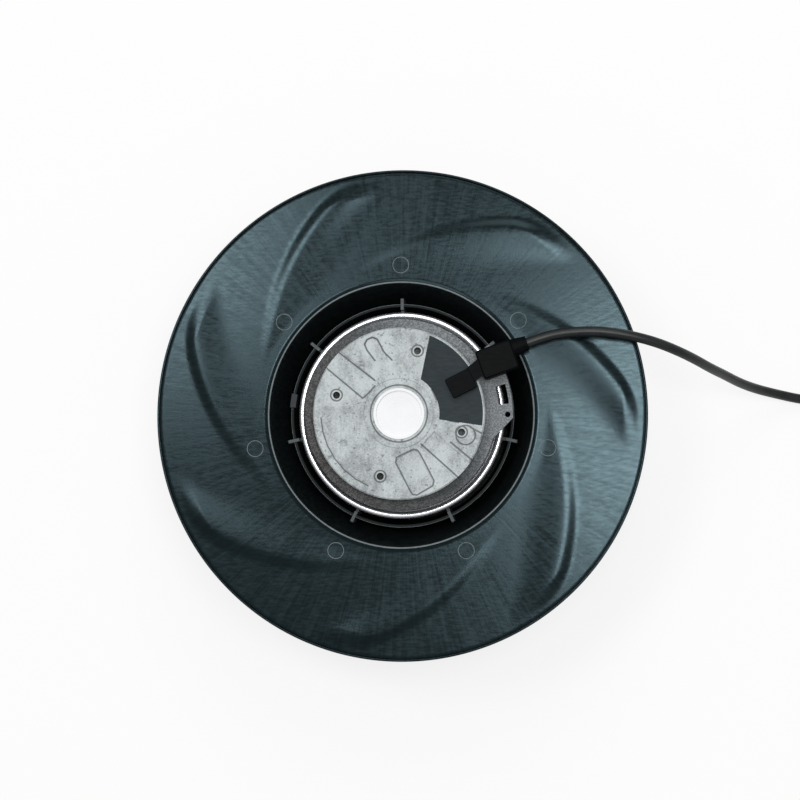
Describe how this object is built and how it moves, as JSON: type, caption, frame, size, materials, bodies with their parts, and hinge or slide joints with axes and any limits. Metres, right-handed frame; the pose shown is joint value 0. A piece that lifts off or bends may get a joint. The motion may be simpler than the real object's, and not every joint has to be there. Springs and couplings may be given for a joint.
{
  "type": "centrifugal fan",
  "caption": "Motorised impeller: backward-curved blades between a back plate and a flared shroud, turning on an external-rotor motor with a cast mounting face and a lead.",
  "frame": {"origin": "on the motor axis, at the foot of the inlet collar", "axes": "+Z along the motor axis, from the inlet to the mounting face; +X on the side that the cord leaves by"},
  "size_m": [0.3736, 0.228, 0.091],
  "materials": {
    "impeller_plastic": "moulded glass-filled plastic, satin",
    "cast_aluminium": "die-cast, as cast",
    "bearing_cap_white": "bright pressed cap",
    "cover_plastic": "moulded, matt",
    "gland_plastic": "moulded, matt",
    "cord_sheath": "extruded sheath, satin",
    "conductor_insulation": "wire insulation",
    "tinned_metal": "tinned",
    "zinc_steel": "zinc-plated, drawn",
    "lamination_steel": "stacked sheets",
    "cage_aluminium": "cast",
    "bearing_steel": "ground",
    "spring_steel": "tempered",
    "insulator_plastic": "moulded",
    "copper_wire": "enamelled copper wire",
    "cutout_case": "moulded",
    "cage_steel": "pressed"
  },
  "bodies": {
    "stator": {"stator_flange": "cast_aluminium", "bearing_cap": "bearing_cap_white", "upper_bearing_outer_ring": "bearing_steel", "lower_bearing_outer_ring": "bearing_steel", "bearing_spring": "spring_steel", "stator_core": "lamination_steel", "upper_end_insulator": "insulator_plastic", "lower_end_insulator": "insulator_plastic", "winding_coils": "copper_wire", "thermal_cutout": "cutout_case", "terminal_cover": "cover_plastic", "cable_gland": "gland_plastic", "lead_boot": "gland_plastic", "stator_leads": "conductor_insulation", "power_cord": "cord_sheath", "cord_coil": "cord_sheath", "cord_conductors": "conductor_insulation", "cord_ferrules": "tinned_metal"},
    "rotor": {"rotor_can": "zinc_steel", "rotor_core": "lamination_steel", "rotor_cage": "cage_aluminium", "rotor_shaft": "bearing_steel", "shaft_circlip": "spring_steel", "upper_bearing_inner_ring": "bearing_steel", "lower_bearing_inner_ring": "bearing_steel", "impeller_back_plate": "impeller_plastic", "impeller_hub": "impeller_plastic", "impeller_blade_1": "impeller_plastic", "impeller_blade_2": "impeller_plastic", "impeller_blade_3": "impeller_plastic", "impeller_blade_4": "impeller_plastic", "impeller_blade_5": "impeller_plastic", "impeller_blade_6": "impeller_plastic", "impeller_blade_7": "impeller_plastic", "impeller_shroud": "impeller_plastic", "balance_clip": "spring_steel"},
    "upper_balls": {"upper_bearing_balls": "bearing_steel", "upper_bearing_cage": "cage_steel"},
    "lower_balls": {"lower_bearing_balls": "bearing_steel", "lower_bearing_cage": "cage_steel"}
  },
  "joints": [
    {"name": "rotor_spin", "type": "hinge", "parent": "stator", "child": "rotor", "pos_m": [0, 0, 0.058], "axis": [0, 0, 1], "continuous": true},
    {"name": "upper_balls_spin", "type": "hinge", "parent": "stator", "child": "upper_balls", "pos_m": [0, 0, 0.077], "axis": [0, 0, 1], "continuous": true},
    {"name": "lower_balls_spin", "type": "hinge", "parent": "stator", "child": "lower_balls", "pos_m": [0, 0, 0.0385], "axis": [0, 0, 1], "continuous": true}
  ],
  "couplings": [
    {"joint": "upper_balls_spin", "follows": "rotor_spin", "ratio": 0.368},
    {"joint": "lower_balls_spin", "follows": "rotor_spin", "ratio": 0.368}
  ]
}
